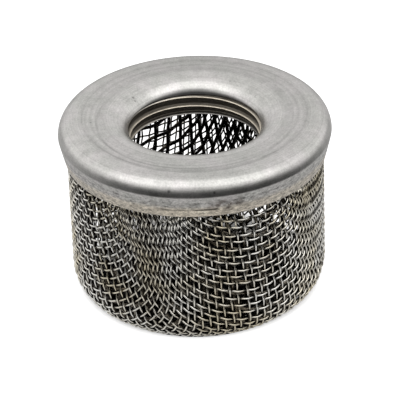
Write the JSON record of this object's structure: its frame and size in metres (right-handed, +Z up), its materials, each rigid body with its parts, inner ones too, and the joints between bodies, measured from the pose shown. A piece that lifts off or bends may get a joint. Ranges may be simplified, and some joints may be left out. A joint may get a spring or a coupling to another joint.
{
  "type": "suction strainer",
  "caption": "Hydraulic suction strainer: a stamped stainless end cap with a rolled threaded mouth, crimped on a fine wire mesh cup that a coarse mesh cup backs inside.",
  "frame": {"origin": "middle of the flat bottom that the mesh cup stands on", "axes": "+Z up through the mouth, -Y towards the viewer"},
  "size_m": [0.0636, 0.0636, 0.0459],
  "materials": {
    "cap_steel": "satin stamped stainless sheet",
    "fine_wire": "drawn stainless wire, plain weave",
    "coarse_wire": "drawn stainless wire, plain weave, thicker"
  },
  "bodies": {
    "root": {"end_cap": "cap_steel", "outer_mesh_cup": "fine_wire", "inner_mesh_cup": "coarse_wire"}
  },
  "joints": []
}
